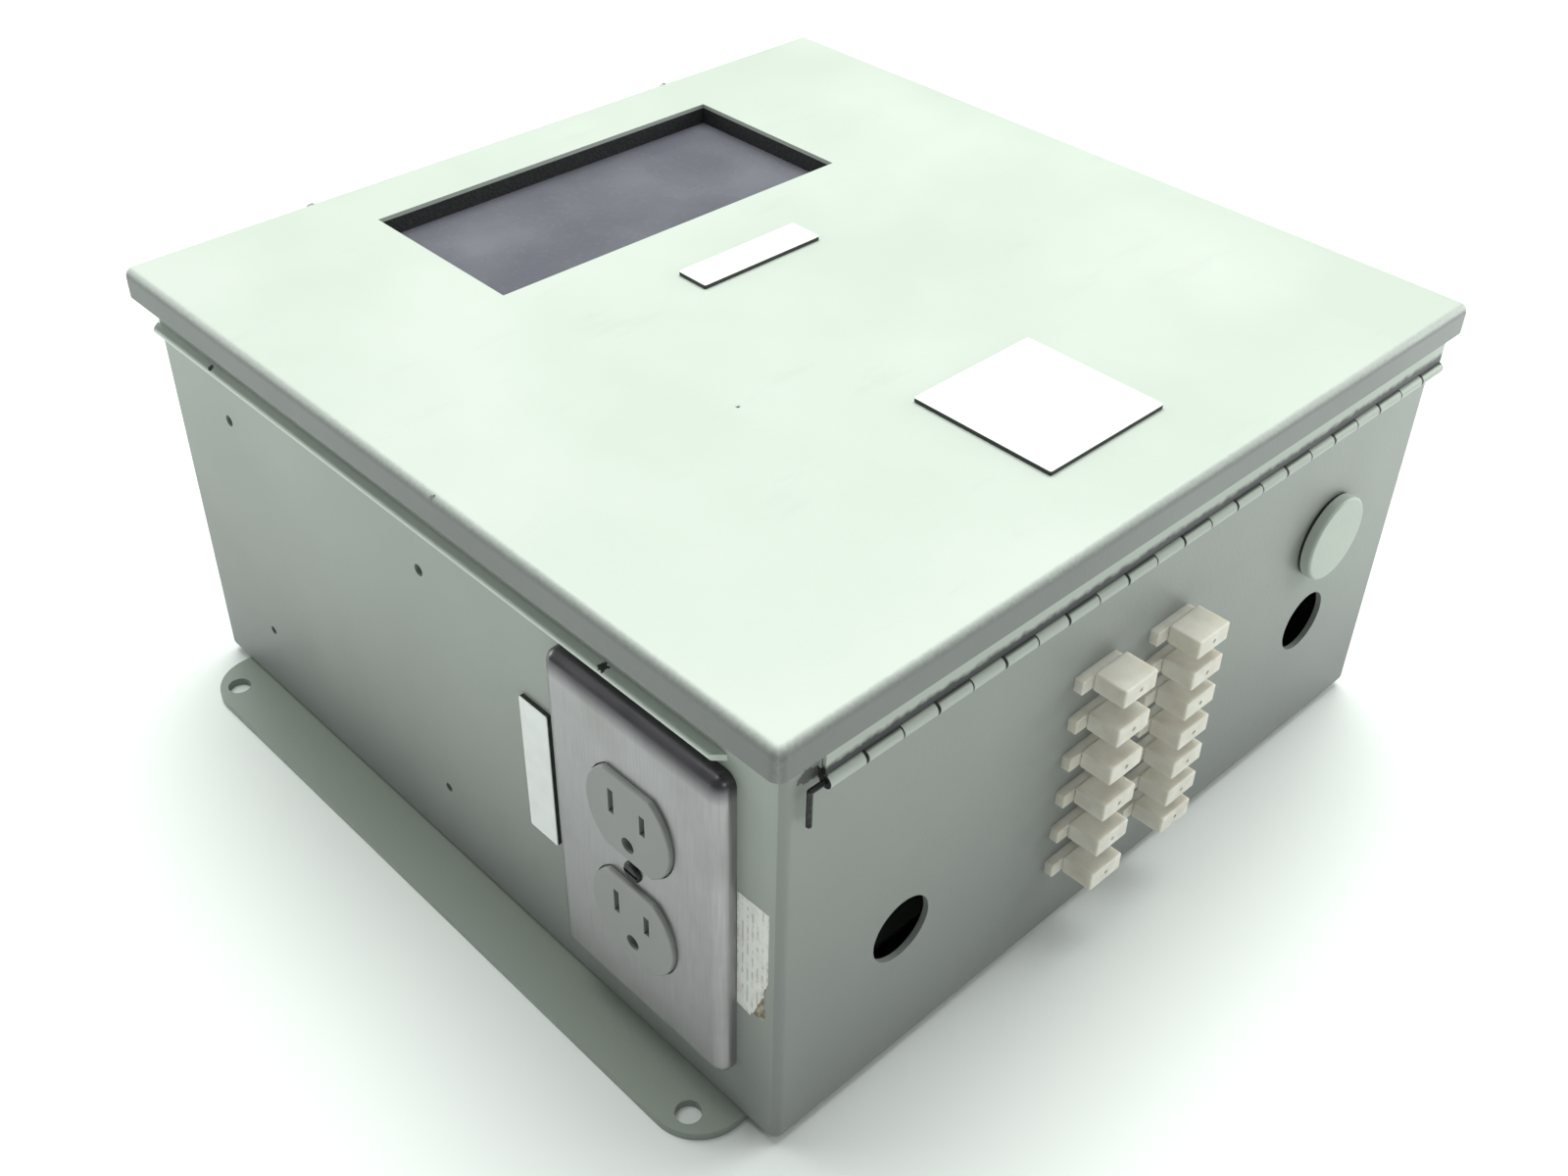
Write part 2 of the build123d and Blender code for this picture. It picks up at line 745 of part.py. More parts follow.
def latch_hook(y):
    """Hook with its finger tab, swung clear of the catch."""
    cam = extrude(hook_plan(), hook_t)
    cam += block(-5.5, 5.5, -22, -20, 0, 11)
    cam = Rot(0, 0, latch_swing) * cam
    wall_plane = Plane(origin=(from_wall(hook_face), y, pivot_z), x_dir=(0, -1, 0), z_dir=(-1, 0, 0))
    return wall_plane.location * cam


def latch_pivots():
    """Shoulder studs welded to the wall."""
    group = Part()
    for y in (-latch_y, latch_y):
        group += rod_x(from_wall(0), from_wall(latch_boss), y, pivot_z, 6.0)
        group += rod_x(from_wall(latch_boss), from_wall(latch_boss + hook_t + 2 * clear), y, pivot_z, 3.0)
        group += rod_x(from_wall(latch_boss), from_wall(latch_boss + hook_t + 6), y, pivot_z, 2.4)
    return group


def latch_nuts():
    """Nuts that keep the hooks on their shoulders."""
    group = Part()
    for y in (-latch_y, latch_y):
        face = latch_boss + hook_t + 2 * clear
        nut = Pos(from_wall(face), y, pivot_z) * Rot(0, -90, 0) * hexagon(8.0, 4.0)
        group += nut - rod_x(from_wall(face - 1), from_wall(face + 6), y, pivot_z, 2.42)
    return group


def latch_catches():
    """Plain studs welded to the door skirt."""
    group = Part()
    for y in (-latch_y, latch_y):
        group += rod_x(from_wall(skirt_off), from_wall(hook_face + hook_t + 2.3), y, catch_z, catch_d / 2)
    return group


save(latch_hook(-latch_y), "latch_hook_1")
save(latch_hook(latch_y), "latch_hook_2")
save(latch_pivots(), "latch_pivots")
save(latch_nuts(), "latch_nuts")
save(latch_catches(), "latch_catches")
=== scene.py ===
# %% [markdown]
# # A painted steel wall enclosure with a window door
#
# The real object is a box folded from sheet steel. It lies on its back on a white table, with its
# door up. Two strips under the back are its mounting feet, a duplex receptacle sits in one wall, and
# nylon cable fittings stand out of the wall that carries the hinge.
#
# The shape comes from a CAD model that is already packed with its joints. This lesson gives every
# piece its real finish, rebuilds the few pieces whose look depends on layers or torn edges, and
# then lights the box and sets the camera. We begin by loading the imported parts, and nothing else is
# read from disk.

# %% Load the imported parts
import json
import math

import bmesh
import bpy
from mathutils import Matrix, Vector, noise


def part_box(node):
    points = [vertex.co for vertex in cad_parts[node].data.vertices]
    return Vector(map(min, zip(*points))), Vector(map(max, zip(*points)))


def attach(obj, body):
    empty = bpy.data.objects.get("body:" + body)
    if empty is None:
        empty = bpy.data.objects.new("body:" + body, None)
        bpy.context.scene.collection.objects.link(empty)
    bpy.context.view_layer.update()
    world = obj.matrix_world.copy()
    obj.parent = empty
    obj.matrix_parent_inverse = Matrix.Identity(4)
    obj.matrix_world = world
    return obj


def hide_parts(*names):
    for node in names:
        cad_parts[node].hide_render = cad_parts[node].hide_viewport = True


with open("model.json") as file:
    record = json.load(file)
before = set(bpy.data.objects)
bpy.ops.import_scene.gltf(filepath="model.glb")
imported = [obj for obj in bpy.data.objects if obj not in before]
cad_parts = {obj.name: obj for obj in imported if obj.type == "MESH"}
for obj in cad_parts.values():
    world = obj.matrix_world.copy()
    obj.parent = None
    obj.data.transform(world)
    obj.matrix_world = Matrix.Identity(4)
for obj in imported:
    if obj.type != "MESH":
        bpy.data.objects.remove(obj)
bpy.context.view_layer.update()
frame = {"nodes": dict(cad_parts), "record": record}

MM = 0.001

# %% [markdown]
# ## Colour on the screen
#
# A pale box on a white table under soft light is bright, and its whites are allowed to burn out.
# Blender's usual film look holds whites back and greys them. The plain "Standard" view shows the
# light as it is, so we choose it here and judge all colours by it.

# %% Use the plain view of colour
bpy.context.scene.view_settings.view_transform = "Standard"
print("view:", bpy.context.scene.view_settings.view_transform)

# %% [markdown]
# ## A small kit for finishes
#
# A finish is a material: one Principled shader, fed by noise that is fixed to the piece. Noise in
# object coordinates is measured in metres, so we can ask for a feature by its real size, such as a
# powder-coat dimple one millimetre across. The alternative is an image texture, which would need
# unwrapping and would blur close up. These few helpers keep each finish short.

# %% Helpers that build a finish
def new_finish(name, colour, roughness, metallic=0.0):
    """Material of one even colour, ready for detail to be added."""
    finish = bpy.data.materials.new(name)
    finish.use_nodes = True
    shader = finish.node_tree.nodes["Principled BSDF"]
    shader.inputs["Base Color"].default_value = (*colour, 1.0)
    shader.inputs["Roughness"].default_value = roughness
    shader.inputs["Metallic"].default_value = metallic
    return finish, shader


def add(finish, kind, **settings):
    """One node in a finish, with its settings."""
    made = finish.node_tree.nodes.new(kind)
    for name, value in settings.items():
        setattr(made, name, value)
    return made


def join(finish, output, target):
    """Wire one socket to another."""
    finish.node_tree.links.new(output, target)


def placed(finish, stretch=(1.0, 1.0, 1.0)):
    """Position on the piece in metres, squeezed along an axis to draw the pattern out along it."""
    where = add(finish, "ShaderNodeTexCoord")
    squeeze = add(finish, "ShaderNodeMapping")
    squeeze.inputs["Scale"].default_value = stretch
    join(finish, where.outputs["Object"], squeeze.inputs["Vector"])
    return squeeze.outputs["Vector"]


def cloud(finish, size, detail=3.0, stretch=(1.0, 1.0, 1.0), harsh=0.5):
    """Soft noise whose patches are about `size` metres across."""
    pattern = add(finish, "ShaderNodeTexNoise")
    pattern.inputs["Scale"].default_value = 1.0 / size
    pattern.inputs["Detail"].default_value = detail
    pattern.inputs["Roughness"].default_value = harsh
    join(finish, placed(finish, stretch), pattern.inputs["Vector"])
    return pattern.outputs[0]


def graded(finish, factor, low, high, start=0.0, end=1.0):
    """Colour that runs from low to high as the factor goes from start to end."""
    ramp = add(finish, "ShaderNodeValToRGB")
    ramp.color_ramp.elements[0].position = start
    ramp.color_ramp.elements[0].color = (*low, 1.0)
    ramp.color_ramp.elements[1].position = end
    ramp.color_ramp.elements[1].color = (*high, 1.0)
    join(finish, factor, ramp.inputs["Fac"])
    return ramp.outputs["Color"]


def levels(finish, factor, low, high, start=0.0, end=1.0):
    """Number that runs from low to high as the factor goes from start to end."""
    scale = add(finish, "ShaderNodeMapRange")
    join(finish, factor, scale.inputs["Value"])
    scale.inputs["From Min"].default_value = start
    scale.inputs["From Max"].default_value = end
    scale.inputs["To Min"].default_value = low
    scale.inputs["To Max"].default_value = high
    return scale.outputs["Result"]


def over(finish, amount, below, above):
    """Colour `above` laid over colour `below` by an amount from 0 to 1."""
    mix = add(finish, "ShaderNodeMix", data_type="RGBA")
    join(finish, amount, mix.inputs[0])
    for socket, colour in ((mix.inputs[6], below), (mix.inputs[7], above)):
        if isinstance(colour, tuple):
            socket.default_value = (*colour, 1.0)
        else:
            join(finish, colour, socket)
    return mix.outputs[2]


def raised(finish, shader, height, depth, below=None):
    """Relief of a real depth in metres, optionally on top of an earlier relief."""
    bump = add(finish, "ShaderNodeBump")
    bump.inputs["Distance"].default_value = depth
    join(finish, height, bump.inputs["Height"])
    if below is not None:
        join(finish, below, bump.inputs["Normal"])
    join(finish, bump.outputs["Normal"], shader.inputs["Normal"])
    return bump.outputs["Normal"]


print("finish kit ready")

# %% [markdown]
# ## Powder coat
#
# The box, the feet and the door wear a pale grey-green powder coat. Real powder coat melts into a
# skin with a fine orange-peel ripple about a millimetre across and only a few hundredths deep, so
# it catches light softly. Its colour is nearly even, with slow clouds from handling and dust, a few
# rubbed streaks, and some small nicks where bare dark steel shows. The ripple and the rubs come
# from noise. The nicks have known places, so each is a small ball in space: where a noisy distance
# to its centre is under its radius, the coat is gone. The last two places are not nicks but painted
# shade: a dark blotch by the bent end of the hinge pin, where a gap lies in shade, drawn the same way.

# %% Powder coat with nicks and a painted shade blotch
PAINT = (0.425, 0.465, 0.420)
PAINT_DUSTY = (0.455, 0.492, 0.448)
PAINT_RUBBED = (0.360, 0.394, 0.358)
BARE_STEEL_AND_SHADE = (0.035, 0.035, 0.036)
flange_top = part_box("drip_flange_front")[1].z
flange_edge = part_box("drip_flange_front")[0].y
door_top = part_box("door")[1].z
NICKS_AND_SHADE_BLOTCH = [
    (Vector((-0.1100, flange_edge + 0.0014, flange_top)), 0.0013),
    (Vector((0.0841, flange_edge + 0.0016, flange_top)), 0.0012),
    (Vector((0.0185, -0.1517, door_top - 0.0009)), 0.0009),
    (Vector((0.0409, -0.0621, door_top)), 0.0006),
    # The last two are not nicks: they are painted shade, a dark blotch by the bent end of the hinge pin.
    (Vector((0.1483, -0.1368, 0.1416)), 0.0024),
    (Vector((0.1483, -0.1400, 0.1418)), 0.0015),
]


def dark_spot_mask(finish, centre, radius):
    """1 inside one ragged dark spot, a nick or part of the painted shade blotch; 0 outside it."""
    ragged = add(finish, "ShaderNodeTexNoise")
    ragged.inputs["Scale"].default_value = 1.0 / (radius * 1.2)
    here = placed(finish)
    join(finish, here, ragged.inputs["Vector"])
    away = add(finish, "ShaderNodeVectorMath", operation="DISTANCE")
    join(finish, here, away.inputs[0])
    away.inputs[1].default_value = centre
    wobble = levels(finish, ragged.outputs[0], -0.9 * radius, 0.9 * radius, 0.25, 0.75)
    total = add(finish, "ShaderNodeMath", operation="ADD")
    join(finish, away.outputs["Value"], total.inputs[0])
    join(finish, wobble, total.inputs[1])
    inside = add(finish, "ShaderNodeMath", operation="LESS_THAN")
    join(finish, total.outputs[0], inside.inputs[0])
    inside.inputs[1].default_value = radius
    return inside.outputs[0]


def all_dark_spots(finish, dark_spots):
    """One mask for every nick and for the painted shade blotch."""
    whole = None
    for centre, radius in dark_spots:
        one = dark_spot_mask(finish, centre, radius)
        if whole is None:
            whole = one
            continue
        either = add(finish, "ShaderNodeMath", operation="MAXIMUM")
        join(finish, whole, either.inputs[0])
        join(finish, one, either.inputs[1])
        whole = either.outputs[0]
    return whole


def powder_coat(name, dark_spots):
    """Satin grey-green powder coat."""
    finish, shader = new_finish(name, PAINT, 0.42)
    slow = cloud(finish, 0.090, detail=4.0)
    colour = graded(finish, slow, PAINT, PAINT_DUSTY, 0.40, 0.66)
    rub = cloud(finish, 0.012, detail=5.0, stretch=(1.0, 0.22, 1.0), harsh=0.65)
    rubbed = levels(finish, rub, 0.0, 0.35, 0.60, 0.78)
    colour = over(finish, rubbed, colour, PAINT_RUBBED)
    speck = cloud(finish, 0.0011, detail=2.0)
    specked = levels(finish, speck, 0.0, 0.30, 0.68, 0.80)
    colour = over(finish, specked, colour, PAINT_RUBBED)
    # Nicks of bare steel, and the painted shade blotch by the hinge pin.
    if dark_spots:
        colour = over(finish, all_dark_spots(finish, dark_spots), colour, BARE_STEEL_AND_SHADE)
    join(finish, colour, shader.inputs["Base Color"])
    join(finish, levels(finish, slow, 0.38, 0.50, 0.35, 0.70), shader.inputs["Roughness"])
    shader.inputs["Specular IOR Level"].default_value = 0.45
    peel = cloud(finish, 0.0014, detail=2.0)
    ripple = raised(finish, shader, peel, 0.00006)
    sheet_wave = cloud(finish, 0.060, detail=1.0)
    raised(finish, shader, sheet_wave, 0.0003, ripple)
    return finish


coat = powder_coat("powder_coat", NICKS_AND_SHADE_BLOTCH)
print("powder coat nodes:", len(coat.node_tree.nodes))

# %% [markdown]
# ## Painted shade and painted light on the powder coat
#
# Above the rolled knuckles the door's hinge leaf drops into a narrow groove. Its shade is painted on
# as a dark band, thickest just over the barrel and gone a few millimetres up, and shade is painted
# into the slits between the knuckles too. The walls are painted darker toward the bottom, the hinge
# wall more than the rest, and the feet and the door's skirt greyer than its top: all painted shade.
# The drip flange by the receptacle is painted paler, which is painted light. How dark and how pale
# to paint them was judged, so under other light these parts may look too dark or too pale.
#
# One helper lays a second colour over the powder coat by height on the piece, with noise to break
# its edge, so it stays in place when the door swings. For the skirt the same helper measures out
# from the middle of the box. A second helper paints shade into the slits at every knuckle.

# %% Powder coat with painted shade and painted light by place
# Painted shade: the dark laid into the hinge groove over the barrel and into the knuckle slits.
PAINTED_SHADE_DARK = (0.020, 0.021, 0.024)
# Painted shade: the walls, darker toward the bottom.
WALL_SHADE = (0.190, 0.198, 0.194)
# Painted shade: the feet, greyer than the rest of the coat.
FOOT_SHADE = (0.262, 0.292, 0.258)
# Painted shade: the door's skirt and its bent rim, greyer than its top.
SKIRT_SHADE = (0.200, 0.208, 0.204)
# Painted light: the drip flange by the receptacle, paler than the coat.
LIP_PAINTED_LIGHT = (0.640, 0.695, 0.640)
BARREL = 4.0 * MM
KNUCKLE_PITCH = 12.7 * MM
HINGE_MIDDLE = 4.5 * MM
BOLD_SLIT = 0.7 * MM
FAINT_SLIT = 0.3 * MM
barrel_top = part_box("hinge_leaf_body")[0].z + BARREL
skirt_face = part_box("door")[1].x


def from_middle(finish, place):
    """Distance out to the nearest side of a square about the middle of the box."""
    sides = []
    for axis in ("X", "Y"):
        size = add(finish, "ShaderNodeMath", operation="ABSOLUTE")
        join(finish, place.outputs[axis], size.inputs[0])
        sides.append(size.outputs[0])
    farther = add(finish, "ShaderNodeMath", operation="MAXIMUM")
    join(finish, sides[0], farther.inputs[0])
    join(finish, sides[1], farther.inputs[1])
    return farther.outputs[0]


def base_colour(finish):
    """The shader of a finish, and the socket that feeds its colour."""
    shader = finish.node_tree.nodes["Principled BSDF"]
    return shader, shader.inputs["Base Color"].links[0].from_socket


def greyed_coat(name, tint, low, high, rough_edge, clean_below=-1.0, to_rim=False):
    """Powder coat that turns to `tint` from `high` to `low`, by height or out to the rim."""
    finish = coat.copy()
    finish.name = name
    shader, clean = base_colour(finish)
    place = add(finish, "ShaderNodeSeparateXYZ")
    join(finish, placed(finish), place.inputs[0])
    ragged = cloud(finish, 6.0 * rough_edge, detail=3.0)
    wobble = levels(finish, ragged, -rough_edge, rough_edge, 0.3, 0.7)
    total = add(finish, "ShaderNodeMath", operation="ADD")
    along = from_middle(finish, place) if to_rim else place.outputs["Z"]
    join(finish, along, total.inputs[0])
    join(finish, wobble, total.inputs[1])
    thick = levels(finish, total.outputs[0], 1.0, 0.0, low, high)
    lies = levels(finish, place.outputs["Z"], 0.0, 1.0, clean_below, clean_below + 0.0004)
    laid = add(finish, "ShaderNodeMath", operation="MULTIPLY")
    join(finish, thick, laid.inputs[0])
    join(finish, lies, laid.inputs[1])
    join(finish, over(finish, laid.outputs[0], clean, tint), shader.inputs["Base Color"])
    return finish


def paint_joint_shade(finish, pitch, middle, bold, faint):
    """Painted shade in the slits between knuckles, heavier at every second one."""
    shader, clean = base_colour(finish)
    where = add(finish, "ShaderNodeSeparateXYZ")
    join(finish, placed(finish), where.inputs[0])
    from_slit = add(finish, "ShaderNodeMath", operation="SUBTRACT")
    join(finish, where.outputs["Y"], from_slit.inputs[0])
    from_slit.inputs[1].default_value = middle
    on_barrel = levels(finish, where.outputs["Z"], 1.0, 0.0, barrel_top - 0.0002, barrel_top + 0.0004)
    for every, reach in ((pitch, bold), (pitch / 2, faint)):
        away = add(finish, "ShaderNodeMath", operation="PINGPONG")
        join(finish, from_slit.outputs[0], away.inputs[0])
        away.inputs[1].default_value = every
        slit_shade = add(finish, "ShaderNodeMath", operation="MULTIPLY")
        join(finish, levels(finish, away.outputs[0], 1.0, 0.0, reach * 0.6, reach), slit_shade.inputs[0])
        join(finish, on_barrel, slit_shade.inputs[1])
        clean = over(finish, slit_shade.outputs[0], clean, PAINTED_SHADE_DARK)
    join(finish, clean, shader.inputs["Base Color"])


def redraw_dark_spots(finish):
    """Draw the nicks and the painted shade blotch again on top of a tint that hid them."""
    shader, pale = base_colour(finish)
    nicked = over(finish, all_dark_spots(finish, NICKS_AND_SHADE_BLOTCH), pale, BARE_STEEL_AND_SHADE)
    join(finish, nicked, shader.inputs["Base Color"])


# Painted shade: the door's hinge leaf turns dark just above the barrel.
groove = greyed_coat(
    "groove_coat", PAINTED_SHADE_DARK, barrel_top + 0.0024, barrel_top + 0.0042, 0.0005, barrel_top - 0.0004)
# Painted shade: walls darker toward the bottom; the hinge wall darkened most of the way up.
wall_coat = greyed_coat("wall_coat", WALL_SHADE, -0.010, 0.180, 0.010)
hinge_wall_coat = greyed_coat("hinge_wall_coat", WALL_SHADE, -0.010, 0.330, 0.010)
# Painted light: the drip flange is painted paler all over.
flange_coat = greyed_coat("flange_coat", LIP_PAINTED_LIGHT, flange_top + 0.010, flange_top + 0.020, 0.001)
# Painted shade: the door greys out toward its rim, over the skirt and the bend above it.
door_coat = greyed_coat(
    "door_coat", SKIRT_SHADE, skirt_face - 0.0002, skirt_face - 0.0024, 0.0002, to_rim=True)
redraw_dark_spots(flange_coat)
# Painted shade: the feet are greyed all over.
foot_coat = greyed_coat("foot_coat", FOOT_SHADE, 0.030, 0.060, 0.004)
knuckle_coat = coat.copy()
knuckle_coat.name = "knuckle_coat"
for finish in (groove, knuckle_coat):
    paint_joint_shade(finish, KNUCKLE_PITCH, HINGE_MIDDLE, BOLD_SLIT, FAINT_SLIT)
print("barrel top at", round(barrel_top / MM, 2), "mm")

# %% [markdown]
# ## Sheet metal and wire
#
# The receptacle's cover is stainless steel, brushed along its length. Brushing is thousands of fine
# parallel scratches. They could be modelled with an anisotropic shader, but that needs a tangent
# direction on every face. Noise squeezed hard along one axis gives the same streaks in colour,
# gloss and relief, so we use that. Zinc plating on hidden hardware is duller and shows faint
# crystal patches, so it takes a cell pattern instead. The hinge pin is dark drawn wire, and the
# contacts in the receptacle are brass that has browned a little. The cover's rounded upper rim
# mirrors the dark recess under the drip flange, and that reflection is painted over its last few
# millimetres.

# %% Stainless, zinc, wire and brass
def brushed_stainless(name, along):
    """Stainless steel brushed along one axis, with soft finger marks."""
    finish, shader = new_finish(name, (0.43, 0.42, 0.43), 0.36, 1.0)
    streaks = cloud(finish, 0.0005, detail=3.0, stretch=along)
    marks = cloud(finish, 0.018, detail=3.0)
    bright = graded(finish, streaks, (0.335, 0.325, 0.338), (0.395, 0.385, 0.395), 0.30, 0.70)
    smudged = levels(finish, marks, 0.0, 0.35, 0.50, 0.75)
    join(finish, over(finish, smudged, bright, (0.325, 0.320, 0.312)), shader.inputs["Base Color"])
    join(finish, levels(finish, marks, 0.30, 0.46, 0.35, 0.70), shader.inputs["Roughness"])
    raised(finish, shader, streaks, 0.00001)
    return finish


def zinc_plate(name):
    """Dull bright zinc with faint crystals."""
    finish, shader = new_finish(name, (0.55, 0.57, 0.60), 0.42, 1.0)
    crystal = add(finish, "ShaderNodeTexVoronoi")
    crystal.inputs["Scale"].default_value = 1.0 / 0.0022
    join(finish, placed(finish), crystal.inputs["Vector"])
    tint = graded(finish, crystal.outputs["Distance"], (0.60, 0.62, 0.64), (0.46, 0.48, 0.50), 0.1, 0.8)
    join(finish, tint, shader.inputs["Base Color"])
    haze = cloud(finish, 0.006, detail=3.0)
    join(finish, levels(finish, haze, 0.34, 0.52, 0.3, 0.7), shader.inputs["Roughness"])
    raised(finish, shader, haze, 0.00003)
    return finish


def drawn_wire(name):
    """Dark steel wire with draw marks along its length."""
    finish, shader = new_finish(name, (0.030, 0.030, 0.033), 0.46, 0.85)
    marks = cloud(finish, 0.0007, detail=3.0, stretch=(1.0, 0.08, 0.4))
    join(finish, graded(finish, marks, (0.020, 0.020, 0.022), (0.075, 0.072, 0.072), 0.35, 0.75),
         shader.inputs["Base Color"])
    raised(finish, shader, marks, 0.00003)
    return finish


def aged_brass(name):
    """Contact brass, browned in patches."""
    finish, shader = new_finish(name, (0.56, 0.39, 0.14), 0.34, 1.0)
    brown = cloud(finish, 0.004, detail=4.0)
    join(finish, graded(finish, brown, (0.60, 0.42, 0.16), (0.34, 0.22, 0.09), 0.40, 0.75),
         shader.inputs["Base Color"])
    raised(finish, shader, brown, 0.00002)
    return finish


def painted_rim_reflection(finish, top, depth):
    """Painted dark reflection on a piece's upper rim, gone `depth` below `top`."""
    shader, clean = base_colour(finish)
    where = add(finish, "ShaderNodeSeparateXYZ")
    join(finish, placed(finish), where.inputs[0])
    amount = levels(finish, where.outputs["Z"], 0.0, 0.8, top - depth, top - 0.4 * depth)
    join(finish, over(finish, amount, clean, RIM_REFLECTION_DARK), shader.inputs["Base Color"])


# Painted reflection: the dark that the cover's rounded upper rim mirrors.
RIM_REFLECTION_DARK = (0.060, 0.052, 0.066)
COVER_RIM = 8.0 * MM
plate_steel = brushed_stainless("brushed_stainless", (1.0, 1.0, 0.03))
painted_rim_reflection(plate_steel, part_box("cover_plate")[1].z, COVER_RIM)
latch_steel = brushed_stainless("latch_stainless", (1.0, 0.04, 1.0))
zinc = zinc_plate("zinc_plate")
wire = drawn_wire("drawn_wire")
brass = aged_brass("contact_brass")
print("metals ready:", [metal.name for metal in (plate_steel, latch_steel, zinc, wire, brass)])

# %% [markdown]
# ## Rubber, plastic, panel enamel and paper
#
# The door gasket and the window seal are sponge rubber: near black, quite dull, pitted with small
# cells. The window pane is smoked sheet, and so dark that it hides what is behind it; only its
# gloss and a thin film of dust tell us it is smooth. The receptacle's faces are moulded plastic
# with a faint spark-eroded grain. Nylon is milky, because light goes in and scatters, so it needs
# subsurface scattering rather than a plain white. The panel inside has thin white enamel.

# %% Soft and moulded finishes
def sponge_rubber(name):
    """Dull black sponge with small open cells."""
    finish, shader = new_finish(name, (0.016, 0.016, 0.018), 0.86)
    cells = add(finish, "ShaderNodeTexVoronoi")
    cells.inputs["Scale"].default_value = 1.0 / 0.0009
    join(finish, placed(finish), cells.inputs["Vector"])
    join(finish, graded(finish, cells.outputs["Distance"], (0.010, 0.010, 0.011), (0.030, 0.030, 0.032)),
         shader.inputs["Base Color"])
    raised(finish, shader, cells.outputs["Distance"], 0.0002)
    return finish


def smoked_pane(name):
    """Dark smoked sheet under a film of dust."""
    finish, shader = new_finish(name, (0.110, 0.108, 0.132), 0.22)
    film = cloud(finish, 0.035, detail=4.0)
    dust = cloud(finish, 0.0016, detail=2.0)
    tint = graded(finish, film, (0.104, 0.102, 0.126), (0.128, 0.126, 0.148), 0.35, 0.70)
    dusty = levels(finish, dust, 0.0, 0.12, 0.55, 0.80)
    join(finish, over(finish, dusty, tint, (0.26, 0.26, 0.27)), shader.inputs["Base Color"])
    join(finish, levels(finish, film, 0.18, 0.34, 0.35, 0.70), shader.inputs["Roughness"])
    raised(finish, shader, dust, 0.00001)
    return finish


def moulded(name, colour, shade, roughness, grain=0.0005):
    """Moulded plastic with a fine grain."""
    finish, shader = new_finish(name, colour, roughness)
    flow = cloud(finish, 0.020, detail=3.0)
    join(finish, graded(finish, flow, colour, shade, 0.35, 0.75), shader.inputs["Base Color"])
    gloss = levels(finish, flow, roughness - 0.04, roughness + 0.08, 0.3, 0.7)
    join(finish, gloss, shader.inputs["Roughness"])
    raised(finish, shader, cloud(finish, grain, detail=2.0), 0.00003)
    return finish


def milky_nylon(name):
    """Natural nylon: waxy, a little yellow, light passes into it."""
    finish, shader = new_finish(name, (0.62, 0.59, 0.52), 0.40)
    flow = cloud(finish, 0.006, detail=3.0)
    join(finish, graded(finish, flow, (0.74, 0.715, 0.660), (0.64, 0.600, 0.530), 0.35, 0.75),
         shader.inputs["Base Color"])
    shader.inputs["Subsurface Weight"].default_value = 0.65
    shader.inputs["Subsurface Radius"].default_value = (1.0, 0.85, 0.62)
    shader.inputs["Subsurface Scale"].default_value = 0.0030
    raised(finish, shader, cloud(finish, 0.0010, detail=2.0), 0.00005)
    return finish


def white_enamel(name):
    """Thin white enamel with a few grey handling marks."""
    finish, shader = new_finish(name, (0.76, 0.77, 0.75), 0.35)
    marks = cloud(finish, 0.030, detail=5.0, harsh=0.6)
    join(finish, graded(finish, marks, (0.77, 0.78, 0.76), (0.66, 0.67, 0.65), 0.50, 0.80),
         shader.inputs["Base Color"])
    raised(finish, shader, cloud(finish, 0.0016, detail=2.0), 0.00004)
    return finish


rubber = sponge_rubber("sponge_rubber")
pane = smoked_pane("smoked_pane")
device_face = moulded("receptacle_grey", (0.270, 0.272, 0.268), (0.300, 0.302, 0.296), 0.36)
device_body = moulded("receptacle_black", (0.022, 0.022, 0.024), (0.032, 0.032, 0.034), 0.50)
nylon = milky_nylon("milky_nylon")
enamel = white_enamel("white_enamel")
print("soft and moulded finishes ready")

# %% [markdown]
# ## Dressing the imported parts
#
# The record says which finish each part wears, by the name of a slot. One table turns a slot name
# into our finish, so a part that is added later is dressed without new code. A few painted parts
# then take the coat that was made for their place. The parts themselves are never moved or reshaped.

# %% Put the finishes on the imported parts
FINISH_OF_SLOT = {
    "grey_paint": coat,
    "white_paint": enamel,
    "stainless": latch_steel,
    "zinc_steel": zinc,
    "pin_steel": wire,
    "brass": brass,
    "black_rubber": rubber,
    "tinted_pane": pane,
    "device_grey": device_face,
    "device_dark": device_body,
    "nylon": nylon,
}


def dress(node, finish):
    """Give every material slot of one part the same finish."""
    part = frame["nodes"][node]
    for holder in part.material_slots:
        holder.material = finish


for sub in frame["record"]["subparts"]:
    if sub["material_slot"] in FINISH_OF_SLOT:
        dress(sub["node"], FINISH_OF_SLOT[sub["material_slot"]])
dress("cover_plate", plate_steel)
dress("cover_screw", wire)
dress("hinge_leaf_door", groove)
dress("hinge_leaf_body", knuckle_coat)
for node in frame["nodes"]:
    if node.startswith("body_"):
        dress(node, wall_coat)
    if node.startswith("mounting_foot"):
        dress(node, foot_coat)
dress("body_wall_hinge", hinge_wall_coat)
dress("drip_flange_front", flange_coat)
dress("door", door_coat)
dressed = [sub["node"] for sub in frame["record"]["subparts"] if sub["material_slot"] in FINISH_OF_SLOT]
print("dressed:", len(dressed), "parts")

# %% [markdown]
# ## Engraving laminate
#
# The nameplates are engraving laminate: a thin white skin on a black core, sawn to size, so every
# edge shows black with a white lid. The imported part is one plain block. A colour split by height
# would work on it, but the sawn edge also has a small broken corner that catches light. So we
# build each plate as rings of points stacked on the block's outline: the lower rings are core, the
# upper ones skin. Each ring is the same rounded rectangle, drawn in a little as it nears the top.

